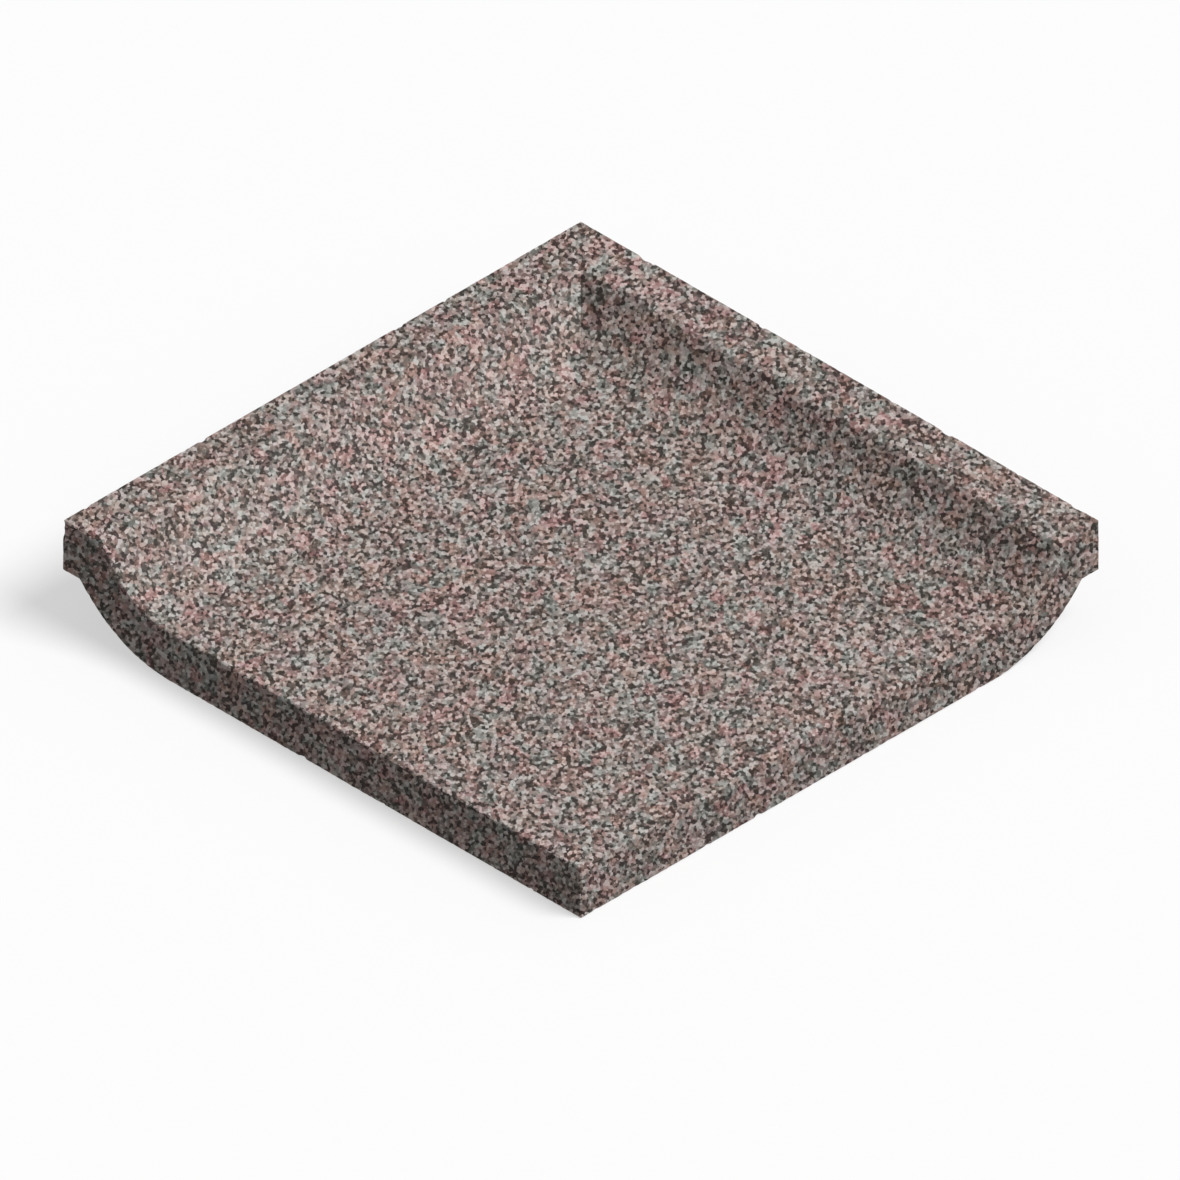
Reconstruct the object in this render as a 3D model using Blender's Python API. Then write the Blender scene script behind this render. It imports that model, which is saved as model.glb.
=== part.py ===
"""Granite corner slab: a square dished slab worked from one block of stone.

Two neighbouring sides are raised into rims and meet in a mitred corner. The other two sides are
sawn off plain, so the dish can run on into the next slab of a row. The underside follows the dish
at the stone's own thickness, and the flat of the underside is the bed.

Frame: metres, +Z up, origin at the middle of the footprint, on the bed. The rims stand along -X
and +Y and meet at the -X +Y corner. The sawn joint faces look along -Y and +X.
"""

import math

import bmesh
import bpy

# Driving dimensions, metres
SLAB_SIDE = 0.96  # each side of the square
STONE_THICKNESS = 0.08  # of the floor, the curved sides and the rims alike
DISH_DEPTH = 0.08  # from the top of the rims down to the dish floor
RIM_WIDTH = 0.066  # the flat along the top of a rim
NOSE_RADIUS = 0.015  # the rounded lip between the rim's flat and the slope
COVE_RADIUS = 0.13  # the hollow round between the slope and the dish floor
SLOPE_ANGLE = math.radians(55.0)  # of the straight slope, from level
ARRIS = 0.002  # the small flat ground along each sawn edge

# How fine the round stretches are
NOSE_STEPS = 5
COVE_STEPS = 14
UNDERSIDE_STEPS = 12

# Finish: dry, flamed granite, grey-pink with dark mica
STONE_COLOUR = (0.245, 0.201, 0.188, 1.0)
STONE_ROUGHNESS = 0.85
SMOOTH_ANGLE = math.radians(30.0)


def clear_scene():
    """Empties the scene without closing the file."""
    for thing in list(bpy.data.objects):
        bpy.data.objects.remove(thing, do_unlink=True)


def stone_material(name):
    """Bare stone: no metal, hardly any gloss."""
    material = bpy.data.materials.new(name)
    material.use_nodes = True
    shader = material.node_tree.nodes["Principled BSDF"]
    shader.inputs["Base Color"].default_value = STONE_COLOUR
    shader.inputs["Roughness"].default_value = STONE_ROUGHNESS
    shader.inputs["Metallic"].default_value = 0.0
    material.diffuse_color = STONE_COLOUR
    return material


def cove_radius():
    """The hollow round, limited by the wall that it and the nose share."""
    return min(COVE_RADIUS, DISH_DEPTH / (1.0 - math.cos(SLOPE_ANGLE)) - NOSE_RADIUS)


def slope_length():
    """What the nose and the cove leave of the wall's height, as a length along the slope."""
    rounds = (cove_radius() + NOSE_RADIUS) * (1.0 - math.cos(SLOPE_ANGLE))
    return max(DISH_DEPTH - rounds, 0.0) / math.sin(SLOPE_ANGLE)


def floor_start():
    """Distance from the slab's outer face to where the cove runs out into the flat floor."""
    rounds = (cove_radius() + NOSE_RADIUS) * math.sin(SLOPE_ANGLE)
    return RIM_WIDTH + rounds + slope_length() * math.cos(SLOPE_ANGLE)


def top_profile():
    """The section's upper side as (distance in from the outer face, height above the bed)."""
    rim_top = STONE_THICKNESS + DISH_DEPTH
    points = [(0.0, rim_top)]
    for step in range(NOSE_STEPS + 1):
        angle = SLOPE_ANGLE * step / NOSE_STEPS
        drop = NOSE_RADIUS * (1.0 - math.cos(angle))
        points.append((RIM_WIDTH + NOSE_RADIUS * math.sin(angle), rim_top - drop))
    radius = cove_radius()
    centre = (floor_start(), STONE_THICKNESS + radius)
    has_slope = slope_length() > ARRIS
    for step in range(0 if has_slope else 1, COVE_STEPS + 1):
        angle = SLOPE_ANGLE * (1.0 - step / COVE_STEPS)
        points.append((centre[0] - radius * math.sin(angle), centre[1] - radius * math.cos(angle)))
    return points


def underside_profile():
    """The section's lower side: the same curve one stone thickness down, cut off by the rim's
    level underside, which lies as far below the rim's top as the bed does below the floor."""
    radius = cove_radius() + STONE_THICKNESS
    level = DISH_DEPTH
    centre = (floor_start(), radius)
    steepest = min(SLOPE_ANGLE, math.acos(max(1.0 - level / radius, -1.0)))
    points = [(0.0, level)]
    reached = radius * (1.0 - math.cos(steepest))
    if level - reached > ARRIS:
        across = (level - reached) / math.tan(SLOPE_ANGLE)
        points.append((centre[0] - radius * math.sin(steepest) - across, level))
    for step in range(UNDERSIDE_STEPS + 1):
        angle = steepest * (1.0 - step / UNDERSIDE_STEPS)
        points.append((centre[0] - radius * math.sin(angle), centre[1] - radius * math.cos(angle)))
    return points


def sweep_round_corner(mesh, profile):
    """Runs a profile along the -X side, round the mitre and along the +Y side.

    Returns its rows of three vertices: at the -Y face, on the mitre and at the +X face."""
    half = SLAB_SIDE / 2
    rows = []
    for inward, height in profile:
        at_minus_y = mesh.verts.new((-half + inward, -half, height))
        on_mitre = mesh.verts.new((-half + inward, half - inward, height))
        at_plus_x = mesh.verts.new((half, half - inward, height))
        rows.append((at_minus_y, on_mitre, at_plus_x))
    for outer, inner in zip(rows, rows[1:]):
        mesh.faces.new((outer[0], inner[0], inner[1], outer[1]))
        mesh.faces.new((outer[1], inner[1], inner[2], outer[2]))
    return rows


def slab_mesh():
    """The closed solid, with the edges that are ground to an arris marked by bevel weight."""
    mesh = bmesh.new()
    half = SLAB_SIDE / 2
    upper = sweep_round_corner(mesh, top_profile())
    lower = sweep_round_corner(mesh, underside_profile())
    floor_corner = mesh.verts.new((half, -half, STONE_THICKNESS))
    bed_corner = mesh.verts.new((half, -half, 0.0))

    floor_edge = upper[-1]
    bed_edge = lower[-1]
    mesh.faces.new((floor_edge[0], floor_corner, floor_edge[2], floor_edge[1]))
    mesh.faces.new((bed_edge[0], bed_corner, bed_edge[2], bed_edge[1]))

    # The outer faces of the two rims
    mesh.faces.new((upper[0][0], upper[0][1], lower[0][1], lower[0][0]))
    mesh.faces.new((upper[0][1], upper[0][2], lower[0][2], lower[0][1]))

    # The two sawn joint faces, each a whole section of the slab
    for end in (0, 2):
        outline = [row[end] for row in upper]
        outline += [floor_corner, bed_corner]
        outline += [row[end] for row in reversed(lower)]
        mesh.faces.new(outline)

    bmesh.ops.recalc_face_normals(mesh, faces=mesh.faces)
    mark_arrises(mesh)
    return mesh


def mark_arrises(mesh):
    """Every edge that stands out and turns by more than half a right angle is a sawn edge."""
    weights = mesh.edges.layers.float.new("bevel_weight_edge")
    for edge in mesh.edges:
        sharp = edge.calc_face_angle_signed(0.0) > math.radians(45.0)
        edge[weights] = 1.0 if sharp else 0.0


def build_slab():
    """The one solid of the slab, with its arrises ground by a Bevel modifier."""
    mesh = slab_mesh()
    data = bpy.data.meshes.new("corner_slab")
    mesh.to_mesh(data)
    mesh.free()
    slab = bpy.data.objects.new("corner_slab", data)
    bpy.context.scene.collection.objects.link(slab)
    data.materials.append(stone_material("granite"))
    data.shade_smooth()
    data.set_sharp_from_angle(angle=SMOOTH_ANGLE)

    arris = slab.modifiers.new("arris", "BEVEL")
    arris.limit_method = "WEIGHT"
    arris.width = ARRIS
    arris.segments = 1
    arris.offset_type = "OFFSET"
    arris.harden_normals = False
    return slab


clear_scene()
build_slab()
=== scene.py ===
"""Granite corner slab: the finished stone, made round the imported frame.

The frame gives the slab's place and its overall size. This script works the stone to the same
section, and gives it its surface: the flamed top, the sawn joint faces, the ground and slightly
chipped arrises, and the granite.
"""

import math

import bpy
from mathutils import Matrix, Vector


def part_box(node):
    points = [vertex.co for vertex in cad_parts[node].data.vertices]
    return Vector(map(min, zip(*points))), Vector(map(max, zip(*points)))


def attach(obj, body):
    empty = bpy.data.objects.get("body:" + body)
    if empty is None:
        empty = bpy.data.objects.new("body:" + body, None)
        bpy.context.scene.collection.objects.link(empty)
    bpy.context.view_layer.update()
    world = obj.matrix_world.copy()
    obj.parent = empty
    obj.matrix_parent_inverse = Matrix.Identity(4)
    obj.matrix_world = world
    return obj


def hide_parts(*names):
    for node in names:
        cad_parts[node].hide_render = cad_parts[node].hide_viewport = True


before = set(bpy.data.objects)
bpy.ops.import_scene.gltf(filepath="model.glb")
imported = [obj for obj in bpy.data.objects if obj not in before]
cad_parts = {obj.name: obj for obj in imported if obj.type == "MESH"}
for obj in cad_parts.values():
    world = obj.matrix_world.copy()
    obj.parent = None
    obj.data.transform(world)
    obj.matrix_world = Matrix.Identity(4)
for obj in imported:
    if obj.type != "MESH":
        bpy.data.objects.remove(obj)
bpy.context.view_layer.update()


# ---------------------------------------------------------------------------------------------
# The slab. One block of grey-pink granite, sawn to a square and worked to a dish: a level floor,
# then a hollow round and a slope up to a flat rim on two sides, which meet in a mitre. The other
# two sides are sawn through. The underside follows the dish at the stone's own thickness.

slab_low, slab_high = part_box("corner_slab")
THICKNESS = 0.08
SLAB_SIZES = {
    "Side": slab_high[0] - slab_low[0],
    "Thickness": THICKNESS,
    "Dish depth": slab_high[2] - slab_low[2] - THICKNESS,
    "Rim width": 0.066,
    "Nose radius": 0.015,
    "Cove radius": 0.13,
    "Slope angle": math.radians(55.0),
    "Arris": 0.002,
    "Flamed relief": 0.0005,
    "Sawn relief": 0.0001,
}

# The unevenness of the ground arrises, the chips in them and the skin of the faces: how many bumps
# of each there are to a metre
UNEVEN_PER_METRE = 170.0
CHIPS_PER_METRE = 38.0
SKIN_PER_METRE = 70.0
UNEVEN_BITE = 1.6  # how much the unevenness adds to an arris or takes off, as a share of its width
CHIP_BITE = 1.8  # how much a whole chip adds
CHIPS_ABOVE = 0.58  # the height of cloud that a chip starts from
CHIP_STEEPNESS = 16.0  # how fast it comes to its full depth from there

# How many lines of the mesh each stretch gets: along the section from the outer face inwards
# (arris, rim over its seat, rest of the rim, nose, slope, cove, floor, arris), and upright
ACROSS_LINES = (1, 6, 7, 5, 4, 24, 150, 1)
UPRIGHT_LINES = (1, 15, 1)
SMOOTH_ANGLE = math.radians(30.0)
ON_FACE = 0.4999  # how far out a line of the block has to be, of half a unit, to lie on a face
MITRE_BAND = 0.1  # how near the mitre a face's middle has to be to lie on it, in spaces of lines

# The granite is a mosaic of small grains. Each grain's shade runs from black mica through smoky
# quartz to feldspar, and it is tinted by the larger crystal it belongs to, from greenish grey to
# pink.
GREY_SHADES = (
    (55, 53, 49),
    (81, 80, 75),
    (114, 114, 109),
    (143, 143, 138),
    (160, 160, 155),
    (187, 186, 182),
)
PINK_SHADES = (
    (65, 48, 43),
    (96, 73, 67),
    (134, 103, 97),
    (166, 133, 127),
    (181, 150, 144),
    (203, 179, 174),
)
GRAINS_PER_METRE = 260.0
STREAKS_PER_METRE = 175.0  # the threads that the mica grains run together in
CRYSTALS_PER_METRE = 55.0
FLUSHES_PER_METRE = 60.0  # the drift from grey to pink and back that the crystals follow
MOTTLES_PER_METRE = 700.0  # the flecks inside a grain
GRAIN_WANDER = (300.0, 0.0045)  # bends to a metre in the edges of the grains, and their reach
CRYSTAL_WANDER = (160.0, 0.008)  # the same for the crystals
SEAM_WIDTH = 0.12  # the dark line between two grains, as a share of a grain's width

# The stone has a grain, like wood: its crystals are longer one way, which runs from the mitred
# corner towards the open one, and upwards
DRAWN_OUT = 2.0  # as many times as long as they are thick
DRAWN_TURN = math.radians(-45.0)
DRAWN_RISE = math.radians(35.0)

# What a grain's shade and tint are made of
STREAK_DARKEST = 0.34  # the height of cloud that counts as black
STREAK_RANGE = 0.32  # how much higher counts as the palest feldspar
GRAIN_CONTRAST = 0.4  # how far a grain's own lot takes it from its streak
CRYSTAL_TINT = 0.7
FLUSH_TINT = 1.68
GRAIN_TINT = 0.1
LEAST_HUE = 0.484  # a half is no change
HUE_RANGE = 0.034
LEAST_VALUE = 0.8
MOTTLE_VALUE = 0.44
SEAM_VALUE = 0.12

# How the grains' broken faces catch the light
MICA_ROUGHNESS = 0.6
FELDSPAR_ROUGHNESS = 0.88
GLOSS = 0.3
GRAIN_TILT = 0.16  # how far they lean, as a share of the surface's own direction
SAWN_EVENNESS = 0.75  # how much of the lean and the pits a saw takes away
PIT_DEPTH = 0.0005
PIT_STRENGTH = 0.4
PALE_HEIGHT = 0.5  # what the feldspar, the flecks and a grain's own lot add to the height,
MOTTLE_HEIGHT = 0.8
GRAIN_HEIGHT = 0.3
SEAM_HEIGHT = 0.5  # and what a seam takes off

# Where each pattern of clouds is taken from
SEEDS = {
    "grain edges": 0.0,
    "streaks": 3.0,
    "mottles": 5.0,
    "flushes": 6.0,
    "uneven arrises": 7.0,
    "crystal edges": 9.0,
    "chips": 17.0,
    "skin": 27.0,
}


class Number:
    """A number that varies over the stone: a node's output, written as plain arithmetic."""

    def __init__(self, socket):
        self.socket = socket

    def __add__(self, other):
        return maths("ADD", self, other)

    def __radd__(self, other):
        return maths("ADD", other, self)

    def __sub__(self, other):
        return maths("SUBTRACT", self, other)

    def __rsub__(self, other):
        return maths("SUBTRACT", other, self)

    def __mul__(self, other):
        return maths("MULTIPLY", self, other)

    def __rmul__(self, other):
        return maths("MULTIPLY", other, self)

    def __truediv__(self, other):
        return maths("DIVIDE", self, other)

    def __lt__(self, other):
        return maths("LESS_THAN", self, other)

    def __gt__(self, other):
        return maths("GREATER_THAN", self, other)


def feed(slot, value):
    """Sets a node's input to a plain value, or links it to another node's output."""
    if isinstance(value, Number):
        value = value.socket
    if isinstance(value, bpy.types.NodeSocket):
        slot.id_data.links.new(value, slot)
    else:
        slot.default_value = value


def add_node(tree, kind, settings=None, **inputs):
    """A new node with its settings and its inputs, whose names are written with _ for a space."""
    node = tree.nodes.new(kind)
    for name, value in (settings or {}).items():
        setattr(node, name, value)
    for name, value in inputs.items():
        feed(node.inputs[name.replace("_", " ")], value)
    return node


def maths(operation, *values):
    """Arithmetic on numbers, at least one of which varies."""
    tree = next(value.socket.id_data for value in values if isinstance(value, Number))
    node = add_node(tree, "ShaderNodeMath", {"operation": operation})
    for slot, value in zip(node.inputs, values):
        feed(slot, value)
    return Number(node.outputs["Value"])


def choose(condition, when_true, otherwise):
    """One of two numbers, by a condition that is 1 or 0."""
    return condition * when_true + (1.0 - condition) * otherwise


def clouds(tree, place, per_metre, detail, seed):
    """Clouds round a half, as a node: its Fac is one number, and its Color three."""
    return add_node(
        tree,
        "ShaderNodeTexNoise",
        {"noise_dimensions": "4D"},
        Vector=place,
        W=SEEDS[seed],
        Detail=detail,
        Scale=per_metre,
    )


granite = bpy.data.materials.new("granite")
granite.use_nodes = True
stone = granite.node_tree
finish = stone.nodes["Principled BSDF"]


def linear(shade):
    """A shade of 0 to 255, as light."""
    parts = (value / 255.0 for value in shade)
    return (*(p / 12.92 if p <= 0.04045 else ((p + 0.055) / 1.055) ** 2.4 for p in parts), 1.0)


def shades(tree, number, steps):
    """The colour that a number from 0 to 1 picks from evenly spaced shades."""
    node = add_node(tree, "ShaderNodeValToRGB", Fac=number)
    elements = node.color_ramp.elements
    while len(elements) < len(steps):
        elements.new(1.0)
    for place, (element, shade) in enumerate(zip(elements, steps)):
        element.position = place / (len(steps) - 1)
        element.color = linear(shade)
    return node.outputs["Color"]


def blend(tree, share, first, second):
    """Two colours mixed by a share."""
    node = add_node(tree, "ShaderNodeMix", {"data_type": "RGBA"})
    slots = [slot for slot in node.inputs if slot.enabled]
    for slot, value in zip(slots, (share, first, second)):
        feed(slot, value)
    return next(output for output in node.outputs if output.enabled)


def vectors(tree, operation, *values):
    """Arithmetic on vectors."""
    node = add_node(tree, "ShaderNodeVectorMath", {"operation": operation})
    for slot, value in zip(node.inputs, values):
        feed(slot, value)
    return node.outputs["Vector"]


def wander(tree, place, per_metre, reach, seed):
    """A place moved about by up to half its reach, so that what is drawn there has ragged edges."""
    drift = clouds(tree, place, per_metre, 4.0, seed).outputs["Color"]
    return vectors(tree, "MULTIPLY_ADD", drift, (reach, reach, reach), place)


def cells(tree, place, per_metre):
    """Cells that fill space: their colours, drawn by lot, and the places of their middles."""
    node = add_node(tree, "ShaderNodeTexVoronoi", Vector=place, Scale=per_metre)
    return node.outputs["Color"], node.outputs["Position"]


def seams(tree, place, per_metre, reach):
    """1 where such cells meet, down to 0 at a reach given as a share of a cell's width."""
    settings = {"feature": "DISTANCE_TO_EDGE"}
    node = add_node(tree, "ShaderNodeTexVoronoi", settings, Vector=place, Scale=per_metre)
    return maths("MAXIMUM", 1.0 - Number(node.outputs["Distance"]) / reach, 0.0)


def three_lots(tree, colour):
    """A cell's colour as three numbers from 0 to 1."""
    return [Number(o) for o in add_node(tree, "ShaderNodeSeparateColor", Color=colour).outputs]


object_place = add_node(stone, "ShaderNodeTexCoord").outputs["Object"]
foliated = add_node(
    stone,
    "ShaderNodeMapping",
    {"vector_type": "TEXTURE"},
    Vector=object_place,
    Rotation=(0.0, -DRAWN_RISE, DRAWN_TURN),
    Scale=(DRAWN_OUT, 1.0, 1.0),
).outputs["Vector"]

grain_place = wander(stone, foliated, *GRAIN_WANDER, "grain edges")
grain_colour, grain_middle = cells(stone, grain_place, GRAINS_PER_METRE)
grain_seams = seams(stone, grain_place, GRAINS_PER_METRE, SEAM_WIDTH)
shade_lot, facet_lot, tint_lot = three_lots(stone, grain_colour)
streaks = Number(clouds(stone, grain_middle, STREAKS_PER_METRE, 0.0, "streaks").outputs["Fac"])
shade = (streaks - STREAK_DARKEST) / STREAK_RANGE + (shade_lot - 0.5) * GRAIN_CONTRAST

crystal_place = wander(stone, foliated, *CRYSTAL_WANDER, "crystal edges")
crystal_colour, _ = cells(stone, crystal_place, CRYSTALS_PER_METRE)
crystal_lot, warmth_lot, _ = three_lots(stone, crystal_colour)
flush = Number(clouds(stone, foliated, FLUSHES_PER_METRE, 1.0, "flushes").outputs["Fac"])
pinkness = (
    0.5
    + (crystal_lot - 0.5) * CRYSTAL_TINT
    + (flush - 0.5) * FLUSH_TINT
    + (tint_lot - 0.5) * GRAIN_TINT
)
mosaic = blend(
    stone, pinkness, shades(stone, shade, GREY_SHADES), shades(stone, shade, PINK_SHADES)
)
mottle = Number(clouds(stone, foliated, MOTTLES_PER_METRE, 3.0, "mottles").outputs["Fac"])
tinted = add_node(
    stone,
    "ShaderNodeHueSaturation",
    Color=mosaic,
    Hue=LEAST_HUE + warmth_lot * HUE_RANGE,
    Value=LEAST_VALUE + mottle * MOTTLE_VALUE - grain_seams * SEAM_VALUE,
)
feed(finish.inputs["Base Color"], tinted.outputs["Color"])
paleness = maths("MINIMUM", maths("MAXIMUM", shade, 0.0), 1.0)
roughness = MICA_ROUGHNESS + paleness * (FELDSPAR_ROUGHNESS - MICA_ROUGHNESS)
feed(finish.inputs["Roughness"], roughness)
finish.inputs["Specular IOR Level"].default_value = GLOSS

sawn_face = add_node(stone, "ShaderNodeAttribute", {"attribute_name": "sawn"}).outputs["Fac"]
rough_left = 1.0 - Number(sawn_face) * SAWN_EVENNESS
facing = add_node(stone, "ShaderNodeNewGeometry").outputs["Normal"]
lean = add_node(
    stone,
    "ShaderNodeVectorMath",
    {"operation": "SCALE"},
    Vector=vectors(stone, "SUBTRACT", grain_colour, (0.5, 0.5, 0.5)),
    Scale=rough_left * GRAIN_TILT,
).outputs["Vector"]
pits = (
    paleness * PALE_HEIGHT
    + mottle * MOTTLE_HEIGHT
    + facet_lot * GRAIN_HEIGHT
    - grain_seams * SEAM_HEIGHT
)
bump = add_node(
    stone,
    "ShaderNodeBump",
    Height=pits,
    Normal=vectors(stone, "NORMALIZE", vectors(stone, "ADD", facing, lean)),
    Strength=rough_left * PIT_STRENGTH,
    Distance=PIT_DEPTH,
)
feed(finish.inputs["Normal"], bump.outputs["Normal"])

# The shape, as a rule: a block of numbered lines whose top and underside follow the section
tree = bpy.data.node_groups.new("dished_corner_slab", "GeometryNodeTree")
named_inputs = {}
for name, value in SLAB_SIZES.items():
    socket = tree.interface.new_socket(name, in_out="INPUT", socket_type="NodeSocketFloat")
    named_inputs[name] = (socket.identifier, value)
socket = tree.interface.new_socket("Stone", in_out="INPUT", socket_type="NodeSocketMaterial")
named_inputs["Stone"] = (socket.identifier, granite)
tree.interface.new_socket("Slab", in_out="OUTPUT", socket_type="NodeSocketGeometry")
given = tree.nodes.new("NodeGroupInput").outputs
side, thickness, depth, rim, nose, cove, angle, arris, flamed, sawn = (
    Number(given[name]) for name in SLAB_SIZES
)


def circle_height(radius, off_centre):
    """How high a circle stands over its centre line, at a distance off its centre."""
    left = radius * radius - off_centre * off_centre
    return maths("SQRT", maths("MAXIMUM", left, 0.0))


def spread(place, widths, lines):
    """Deals evenly numbered lines, 0 to 1, out over stretches of the given widths."""
    distance = 0.0
    start = 0
    for width, count in zip(widths, lines):
        stretch = add_node(
            tree,
            "ShaderNodeMapRange",
            Value=place,
            From_Min=start / sum(lines),
            From_Max=(start + count) / sum(lines),
            To_Max=width,
        )
        distance = distance + Number(stretch.outputs["Result"])
        start += count
    return distance


# The section's stretches, from the outer face inwards
sine = maths("SINE", angle)
cosine = maths("COSINE", angle)
slope = (depth - (cove + nose) * (1.0 - cosine)) / sine
nose_end = rim + nose * sine
slope_end = nose_end + slope * cosine
floor_start = slope_end + cove * sine
outer_cove = cove + thickness
seat_end = floor_start - circle_height(outer_cove, outer_cove - depth)
stretches = (
    arris,
    seat_end - arris,
    rim - seat_end,
    nose * sine,
    slope * cosine,
    cove * sine,
    side - floor_start - arris,
    arris,
)

# The block, one unit each way, and which of its six faces each line lies on: 1, -1 or neither
block = add_node(tree, "GeometryNodeMeshCube", Size=(1.0, 1.0, 1.0))
for axis, lines in zip("XYZ", (ACROSS_LINES, ACROSS_LINES, UPRIGHT_LINES)):
    block.inputs[f"Vertices {axis}"].default_value = sum(lines) + 1
block = block.outputs["Mesh"]
position = add_node(tree, "GeometryNodeInputPosition").outputs["Position"]
units = [Number(o) for o in add_node(tree, "ShaderNodeSeparateXYZ", Vector=position).outputs]
faces = [(unit > ON_FACE) - (unit < -ON_FACE) for unit in units]
on_top = units[2] > ON_FACE


def two_or_more(conditions):
    """1 where at least two of three conditions hold, and 0 elsewhere."""
    return conditions[0] + conditions[1] + conditions[2] > 1.5


on_arris = two_or_more([maths("ABSOLUTE", face) for face in faces])
near_faces = [
    maths("ABSOLUTE", unit) > ON_FACE - 1.0 / sum(lines)
    for unit, lines in zip(units, (ACROSS_LINES, ACROSS_LINES, UPRIGHT_LINES))
]
beside_arris = two_or_more(near_faces) - on_arris

# Distance in from each rim's outer face: where the two are equal is the mitre
from_minus_x = spread(units[0] + 0.5, stretches, ACROSS_LINES)
from_plus_y = spread(0.5 - units[1], stretches, ACROSS_LINES)
inward = maths("MINIMUM", from_minus_x, from_plus_y)
on_mitre = maths("ABSOLUTE", units[0] + units[1]) < MITRE_BAND / sum(ACROSS_LINES)

# Heights of the worked top and of the underside
past_rim = maths("MAXIMUM", inward - rim, 0.0)
to_floor = maths("MAXIMUM", floor_start - inward, 0.0)
rim_top = depth + thickness
on_nose = rim_top - nose + circle_height(nose, past_rim)
on_slope = rim_top - nose * (1.0 - cosine) - (inward - nose_end) * (sine / cosine)
on_cove = thickness + cove - circle_height(cove, to_floor)
top = choose(inward < nose_end, on_nose, choose(inward < slope_end, on_slope, on_cove))
underside = maths("MINIMUM", depth, outer_cove - circle_height(outer_cove, to_floor))
upright = (arris, thickness - 2.0 * arris, arris)
share = spread(units[2] + 0.5, upright, UPRIGHT_LINES) / thickness
height = underside + (top - underside) * share

# The arrises are ground off, a little unevenly and with a few chips that bite past them. The top's
# skin is flamed. Half of a bite comes off the edge itself, and what is more than the arris comes
# off the line beside it.
true_place = (from_minus_x - side / 2.0, side / 2.0 - from_plus_y, height)
sharp = add_node(tree, "ShaderNodeCombineXYZ", **dict(zip("XYZ", true_place))).outputs["Vector"]
uneven = Number(clouds(tree, sharp, UNEVEN_PER_METRE, 1.0, "uneven arrises").outputs["Fac"])
chips = Number(clouds(tree, sharp, CHIPS_PER_METRE, 2.0, "chips").outputs["Fac"])
skin = Number(clouds(tree, sharp, SKIN_PER_METRE, 3.0, "skin").outputs["Fac"])
chipped = maths("MINIMUM", maths("MAXIMUM", chips - CHIPS_ABOVE, 0.0) * CHIP_STEEPNESS, 1.0)
bite = arris * (1.0 + (uneven - 0.5) * UNEVEN_BITE + chipped * CHIP_BITE)
ground = on_arris * bite * 0.5 + beside_arris * maths("MAXIMUM", bite - arris, 0.0)
relief = skin * choose(on_top, flamed, sawn)
worn_place = [place - face * (ground + relief) for place, face in zip(true_place, faces)]
worn = add_node(tree, "ShaderNodeCombineXYZ", **dict(zip("XYZ", worn_place))).outputs["Vector"]


def keep(geometry, name, value, domain):
    """Keeps a number with the mesh, under a name."""
    settings = {"data_type": "FLOAT", "domain": domain}
    node = add_node(tree, "GeometryNodeStoreNamedAttribute", settings, Name=name, Value=value)
    feed(node.inputs["Geometry"], geometry)
    return node.outputs["Geometry"]


# The faces that the mitre crosses are each cut in two along it, so that the crease is a clean line
marked = keep(block, "mitre", on_mitre, "FACE")
marked = keep(marked, "sawn", 1.0 - on_top, "FACE")
shaped = add_node(tree, "GeometryNodeSetPosition", Geometry=marked, Position=worn)
mitre = add_node(tree, "GeometryNodeInputNamedAttribute", {"data_type": "FLOAT"}, Name="mitre")
creased = add_node(
    tree,
    "GeometryNodeTriangulate",
    {"quad_method": "LONGEST_DIAGONAL"},
    Mesh=shaped.outputs["Geometry"],
    Selection=mitre.outputs["Attribute"],
)
whole = add_node(tree, "GeometryNodeRealizeInstances", Geometry=creased.outputs["Mesh"])
stony = add_node(
    tree, "GeometryNodeSetMaterial", Geometry=whole.outputs["Geometry"], Material=given["Stone"]
)
result = tree.nodes.new("NodeGroupOutput")
feed(result.inputs["Slab"], stony.outputs["Geometry"])

# The tree's result as a plain mesh
pattern = bpy.data.objects.new("slab_rule", bpy.data.meshes.new("slab_rule"))
bpy.context.scene.collection.objects.link(pattern)
modifier = pattern.modifiers.new("dished corner slab", "NODES")
modifier.node_group = tree
for identifier, value in named_inputs.values():
    modifier[identifier] = value
evaluated = pattern.evaluated_get(bpy.context.evaluated_depsgraph_get())
slab_mesh = bpy.data.meshes.new_from_object(evaluated)
bpy.data.objects.remove(pattern, do_unlink=True)
slab_mesh.name = "granite_corner_slab"
slab_mesh.shade_smooth()
slab_mesh.set_sharp_from_angle(angle=SMOOTH_ANGLE)

slab = bpy.data.objects.new("granite_corner_slab", slab_mesh)
bpy.context.scene.collection.objects.link(slab)
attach(slab, "root")
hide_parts("corner_slab")


# ---------------------------------------------------------------------------------------------
# The ground it is shown on: a plain pale light table, wide enough to fill every view that looks
# well down on it. Its glow thins the slab's shadow out. It throws no light back on the stone,
# whose dark side stays dark.

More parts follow.
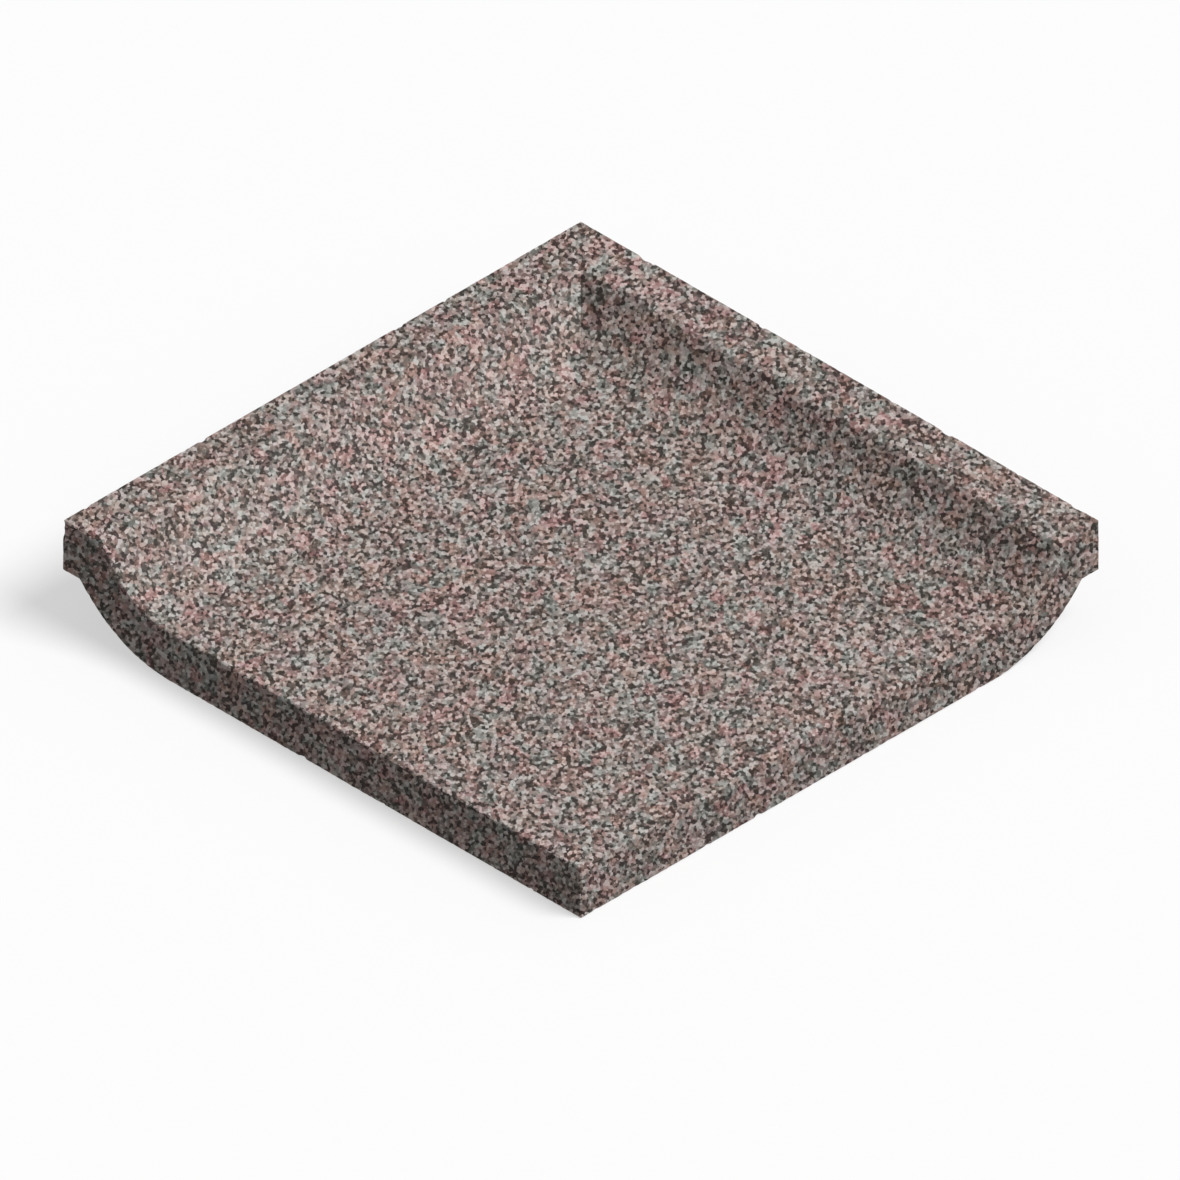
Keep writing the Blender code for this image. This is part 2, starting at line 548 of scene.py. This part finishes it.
FLOOR_SHADE = (178, 178, 178)
FLOOR_ROUGHNESS = 0.9
FLOOR_GLOW = 0.53
FLOOR_REACH = 150.0
floor_mesh = bpy.data.meshes.new("studio_floor")
corners = [(x * FLOOR_REACH, y * FLOOR_REACH, 0.0) for x, y in ((-1, -1), (1, -1), (1, 1), (-1, 1))]
floor_mesh.from_pydata(corners, [], [(0, 1, 2, 3)])
studio_floor = bpy.data.objects.new("studio_floor", floor_mesh)
bpy.context.scene.collection.objects.link(studio_floor)
floor_paint = bpy.data.materials.new("pale_floor")
floor_paint.use_nodes = True
floor_finish = floor_paint.node_tree.nodes["Principled BSDF"]
floor_finish.inputs["Base Color"].default_value = linear(FLOOR_SHADE)
floor_finish.inputs["Roughness"].default_value = FLOOR_ROUGHNESS
floor_finish.inputs["Specular IOR Level"].default_value = 0.0
floor_finish.inputs["Emission Color"].default_value = (1.0, 1.0, 1.0, 1.0)
floor_finish.inputs["Emission Strength"].default_value = FLOOR_GLOW
floor_mesh.materials.append(floor_paint)
studio_floor.visible_diffuse = False
studio_floor.visible_glossy = False


# ---------------------------------------------------------------------------------------------
# Soft studio light: an even sky, and one broad lamp high on the right, a little to the viewer's
# side of the slab. It lights the slopes that face right and leaves those that face left dark.
# Where the view goes past the table, the backdrop is as bright as the table.

SKY_STRENGTH = 0.28
LAMP_STRENGTH = 0.895
LAMP_BREADTH = math.radians(30.0)
TOWARDS_LAMP = Vector((0.47, 0.20, 0.72))
TABLE_LIGHT = SKY_STRENGTH + LAMP_STRENGTH * TOWARDS_LAMP.normalized().z
BACKDROP_STRENGTH = FLOOR_GLOW + linear(FLOOR_SHADE)[0] * TABLE_LIGHT
sky = bpy.data.worlds.new("studio_sky")
sky.use_nodes = True
backdrop = sky.node_tree.nodes["Background"]
backdrop.inputs["Color"].default_value = (1.0, 1.0, 1.0, 1.0)
looked_at = Number(add_node(sky.node_tree, "ShaderNodeLightPath").outputs["Is Camera Ray"])
feed(backdrop.inputs["Strength"], choose(looked_at, BACKDROP_STRENGTH, SKY_STRENGTH))
bpy.context.scene.world = sky
lamp_light = bpy.data.lights.new("studio_lamp", "SUN")
lamp_light.energy = LAMP_STRENGTH * math.pi
lamp_light.angle = LAMP_BREADTH
lamp = bpy.data.objects.new("studio_lamp", lamp_light)
lamp.rotation_euler = TOWARDS_LAMP.to_track_quat("Z", "Y").to_euler()
bpy.context.scene.collection.objects.link(lamp)


# ---------------------------------------------------------------------------------------------
# The viewer: a parallel, isometric view over the open corner, with the mitred corner at the back.

VIEW_TURN = math.radians(45.0)
VIEW_RISE = math.asin(1.0 / math.sqrt(3.0))
VIEW_WIDTH = 1.544
VIEW_DISTANCE = 25.0
AIM_RIGHT = 0.012
AIM_DOWN = 0.0265
towards_viewer = Vector(
    (
        math.sin(VIEW_TURN) * math.cos(VIEW_RISE),
        -math.cos(VIEW_TURN) * math.cos(VIEW_RISE),
        math.sin(VIEW_RISE),
    )
)
rightwards = Vector((math.cos(VIEW_TURN), math.sin(VIEW_TURN), 0.0))
upwards = towards_viewer.cross(rightwards)
middle = (Vector(slab_low) + Vector(slab_high)) / 2
aim = middle + AIM_RIGHT * rightwards - AIM_DOWN * upwards
camera_data = bpy.data.cameras.new("viewer")
camera_data.type = "ORTHO"
camera_data.ortho_scale = VIEW_WIDTH
camera_data.clip_end = 4.0 * FLOOR_REACH
camera = bpy.data.objects.new("viewer", camera_data)
camera.location = aim + VIEW_DISTANCE * towards_viewer
camera.rotation_euler = towards_viewer.to_track_quat("Z", "Y").to_euler()
bpy.context.scene.collection.objects.link(camera)
bpy.context.scene.camera = camera
bpy.context.scene.view_settings.view_transform = "Standard"
